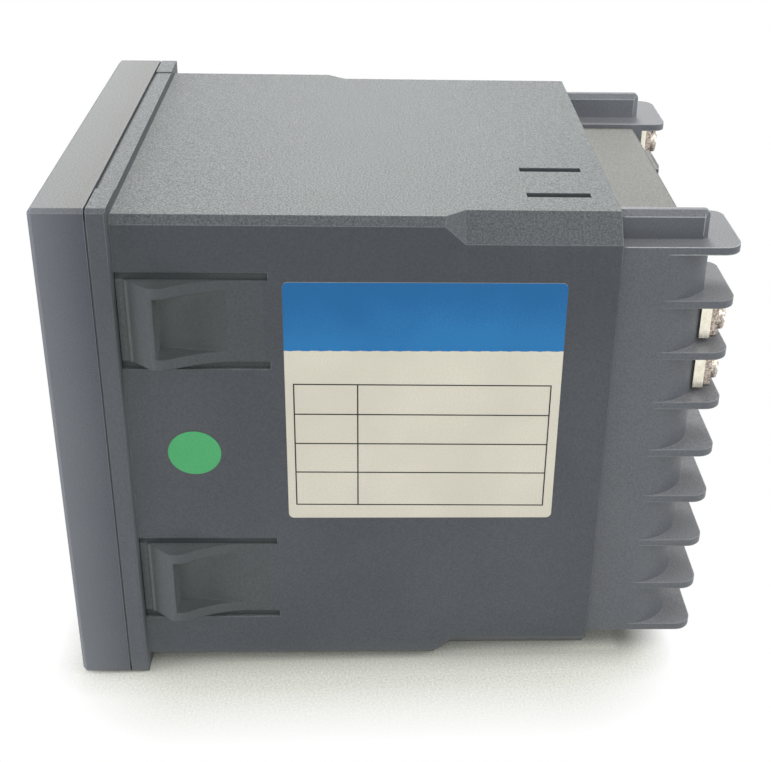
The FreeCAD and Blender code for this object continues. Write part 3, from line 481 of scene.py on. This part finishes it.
def head_band():
    near = label_low.y + LABEL_CORNER
    far = label_high.y - LABEL_CORNER
    top = label_high.z - LABEL_CORNER
    width = label_high.y - label_low.y
    lower = [label_low.y + width * index / BAND_STEPS for index in range(BAND_STEPS + 1)]
    outline = [(y, ragged(y)) for y in lower]
    outline += corner_arc(far, top, LABEL_CORNER, 0) + corner_arc(near, top, LABEL_CORNER, math.pi / 2)
    flat_piece("label_head_band", [on_label(outline)], band_ink, "case")


def rule(y0, y1, z0, z1):
    middle = (label_low.y + label_high.y) / 2
    corners = [(y0, z0), (y1, z0), (y1, z1), (y0, z1)]
    return on_label([(y, z + TABLE_TILT * (y - middle)) for y, z in corners])


def ruled_table():
    half = RULE_WIDTH / 2
    near, far = TABLE_SIDES[0], TABLE_SIDES[-1]
    rules = [rule(near - half, far + half, z - half, z + half) for z in TABLE_RULES]
    for y in TABLE_SIDES:
        for top, low in zip(TABLE_RULES, TABLE_RULES[1:]):
            rules.append(rule(y - half, y + half, low + half, top - half))
    flat_piece("label_ruled_table", rules, rule_ink, "case")


def key_mark(name, outlines):
    low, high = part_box("key_" + name)
    middle = (low + high) / 2
    y = low.y - PRINT_LIFT
    faces = [[(middle.x + x, y, middle.z + z) for x, z in outline] for outline in outlines]
    flat_piece("key_mark_" + name, faces, mark_ink, "key_" + name)


def triangle(turn):
    angles = [turn + index * math.tau / 3 for index in range(3)]
    return [(MARK_HALF * math.cos(angle), MARK_HALF * math.sin(angle)) for angle in angles]


def ring():
    inner = MARK_HALF - MARK_RING
    quads = []
    for index in range(RING_STEPS):
        start = index * math.tau / RING_STEPS
        end = (index + 1) * math.tau / RING_STEPS
        quads.append([
            (MARK_HALF * math.cos(start), MARK_HALF * math.sin(start)),
            (MARK_HALF * math.cos(end), MARK_HALF * math.sin(end)),
            (inner * math.cos(end), inner * math.sin(end)),
            (inner * math.cos(start), inner * math.sin(start)),
        ])
    return quads


def side_sheet(side, depth, y0, y1, z0, z1):
    x = side * (CASE_HALF - depth)
    return [(x, y0, z0), (x, y1, z0), (x, y1, z1), (x, y0, z1)][::side]


def latch_root_and_gaps(name):
    low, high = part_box("latch_" + name)
    side = 1 if high.x > 0 else -1
    skin = [side_sheet(side, -PRINT_LIFT, *SKIN_Y, low.z, high.z)]
    flat_piece("latch_skin_" + name, skin, case_plastic, "case")
    near, far = low.z - GAP_CLEAR, high.z + GAP_CLEAR
    # Dark sheets just inside the slots above and below each tongue: painted shade.
    gap_shade_sheets = [
        side_sheet(side, GAP_DEPTH, 0, SKIN_Y[1], near - GAP_WIDTH, near),
        side_sheet(side, GAP_DEPTH, 0, SKIN_Y[1], far, far + GAP_WIDTH),
    ]
    flat_piece("latch_gaps_" + name, gap_shade_sheets, painted_gap_shade, "case")
    # A paler sheet inside the slot at the tongue's free end: painted light.
    end = [side_sheet(side, GAP_DEPTH, 0, low.y - GAP_CLEAR, near, far)]
    flat_piece("latch_end_" + name, end, painted_gap_end_light, "case")


def seam_floors():
    depth = CASE_HALF - SEAM_X
    seams = [side_sheet(side, depth, *SEAM_Y, -SEAM_HALF, SEAM_HALF) for side in (1, -1)]
    flat_piece("seam_floors", seams, bezel_plastic, "case")


for row in ("upper", "lower"):
    for wing in ("right", "left"):
        latch_root_and_gaps(row + "_" + wing)
seam_floors()
head_band()
ruled_table()
key_mark("set", ring())
key_mark("shift", [triangle(math.pi)])
key_mark("down", [triangle(-math.pi / 2)])
key_mark("up", [triangle(math.pi / 2)])


# Stage: pale floor through the two edges that the object rests on, soft light and camera

def seen_directly(tree):
    path = add(tree, "LightPath", {}).outputs
    seen = add(tree, "Math", {0: path["Is Camera Ray"], 1: path["Is Glossy Ray"]}, operation="MAXIMUM")
    seen = add(tree, "Math", {0: seen.outputs[0], 1: path["Is Transmission Ray"]}, operation="MAXIMUM")
    return seen.outputs[0]


def distance_outside(tree, place, centre, half):
    offset = add(tree, "VectorMath", {0: place, 1: centre}, operation="SUBTRACT").outputs["Vector"]
    offset = add(tree, "VectorMath", {0: offset}, operation="ABSOLUTE").outputs["Vector"]
    offset = add(tree, "VectorMath", {0: offset, 1: half}, operation="SUBTRACT").outputs["Vector"]
    outside = add(tree, "VectorMath", {0: offset, 1: Vector()}, operation="MAXIMUM").outputs["Vector"]
    return add(tree, "VectorMath", {0: outside}, operation="LENGTH").outputs["Value"]


def floor():
    flange_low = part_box("housing")[0].z
    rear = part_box("housing")[1].y
    tilt = math.atan2(-CASE_HALF - flange_low, rear)
    mesh = bpy.data.meshes.new("floor")
    corners = [(x * FLOOR_HALF, y * FLOOR_HALF, 0) for x, y in ((-1, -1), (1, -1), (1, 1), (-1, 1))]
    mesh.from_pydata(corners, [], [[0, 1, 2, 3]])
    material, tree, shader = new_material("floor_paper")
    shader.inputs["Roughness"].default_value = 0.9
    shader.inputs["Specular IOR Level"].default_value = 0.1
    place = add(tree, "TexCoord", {}).outputs["Object"]
    fleck = spread(tree, noise(tree, 0.45 * MM, 3.0, 0.75), *NOISE_SPAN, 0.0, 1.0)
    colour = mix(tree, fleck, srgb(208, 208, 196), srgb(255, 255, 245))
    contact = distance_outside(tree, place, CONTACT_CENTRE, CONTACT_HALF)
    rising = spread(tree, contact, 0.0, CONTACT_REACH[0], 0.0, 1.0)
    falling = spread(tree, contact, *CONTACT_REACH, CONTACT_SHADE, 0.0)
    shade = add(tree, "Math", {0: rising, 1: falling}, operation="MULTIPLY").outputs[0]
    wire(tree, shader.inputs["Base Color"], mix(tree, shade, colour, srgb(146, 146, 138)))
    shadow = distance_outside(tree, place, SHADOW_CENTRE, SHADOW_HALF)
    lift = spread(tree, shadow, *SHADOW_REACH, 0.0, 1.0)
    clear = spread(tree, contact, *CONTACT_CLEAR, 0.0, 1.0)
    lift = add(tree, "Math", {0: lift, 1: clear}, operation="MULTIPLY").outputs[0]
    share = add(tree, "Math", {0: lift, 1: seen_directly(tree)}, operation="MULTIPLY").outputs[0]
    glow = add(tree, "Emission", {"Color": (1.0, 1.0, 1.0, 1.0), "Strength": 1.0}).outputs["Emission"]
    blend = add(tree, "MixShader", {0: share, 1: shader.outputs["BSDF"], 2: glow}).outputs["Shader"]
    wire(tree, tree.nodes["Material Output"].inputs["Surface"], blend)
    mesh.materials.append(material)
    piece = bpy.data.objects.new("floor", mesh)
    piece.matrix_world = Matrix.Translation((0, 0, flange_low)) @ Matrix.Rotation(tilt, 4, "X")
    bpy.context.scene.collection.objects.link(piece)


def softbox(name, place, width, height, power, colour):
    light = bpy.data.lights.new(name, "AREA")
    light.shape = "RECTANGLE"
    light.size = width
    light.size_y = height
    light.energy = power
    light.color = colour
    lamp = bpy.data.objects.new(name, light)
    lamp.visible_camera = False
    lamp.location = place
    lamp.rotation_euler = (LIGHT_TARGET - Vector(place)).to_track_quat("-Z", "Y").to_euler()
    bpy.context.scene.collection.objects.link(lamp)


def world():
    sky = bpy.data.worlds.new("studio")
    sky.use_nodes = True
    tree = sky.node_tree
    back = tree.nodes["Background"]
    wire(tree, back.inputs["Strength"], spread(tree, seen_directly(tree), 0.0, 1.0, WORLD_LIGHT, 1.0))
    back.inputs["Color"].default_value = (1.0, 1.0, 1.0, 1.0)
    bpy.context.scene.world = sky


def camera():
    level = Vector((math.cos(CAMERA_AZIMUTH), math.sin(CAMERA_AZIMUTH), 0))
    back = Vector((
        math.sin(CAMERA_AZIMUTH) * math.cos(CAMERA_ELEVATION),
        -math.cos(CAMERA_AZIMUTH) * math.cos(CAMERA_ELEVATION),
        math.sin(CAMERA_ELEVATION),
    ))
    upright = back.cross(level)
    right = level * math.cos(CAMERA_ROLL) + upright * math.sin(CAMERA_ROLL)
    up = back.cross(right)
    lens = bpy.data.cameras.new("camera")
    lens.sensor_width = SENSOR_WIDTH
    lens.sensor_fit = "HORIZONTAL"
    lens.lens = FOCAL_PIXELS / IMAGE_WIDTH * SENSOR_WIDTH
    lens.shift_x, lens.shift_y = CAMERA_SHIFT
    lens.clip_start = CLIP_START
    eye = bpy.data.objects.new("camera", lens)
    eye.matrix_world = Matrix.Translation(CAMERA_PLACE) @ Matrix((right, up, back)).transposed().to_4x4()
    bpy.context.scene.collection.objects.link(eye)
    bpy.context.scene.camera = eye


floor()
softbox("back_light", (-0.655, 0.05, 0.64), 0.22, 0.2, 4.6, WARM_WHITE)
softbox("top_light", (0.30, 0.10, 0.85), 0.9, 0.7, 1.5, COOL_WHITE)
softbox("right_light", (0.15, 0.95, 0.55), 0.8, 0.6, 6.0, COOL_WHITE)
softbox("left_light", (0.15, -0.90, 0.35), 0.8, 0.6, 6.0, COOL_WHITE)
softbox("front_light", (0.95, 0.05, 0.30), 0.9, 0.6, 2.8, COOL_WHITE)
world()
camera()
bpy.context.scene.view_settings.view_transform = "Standard"
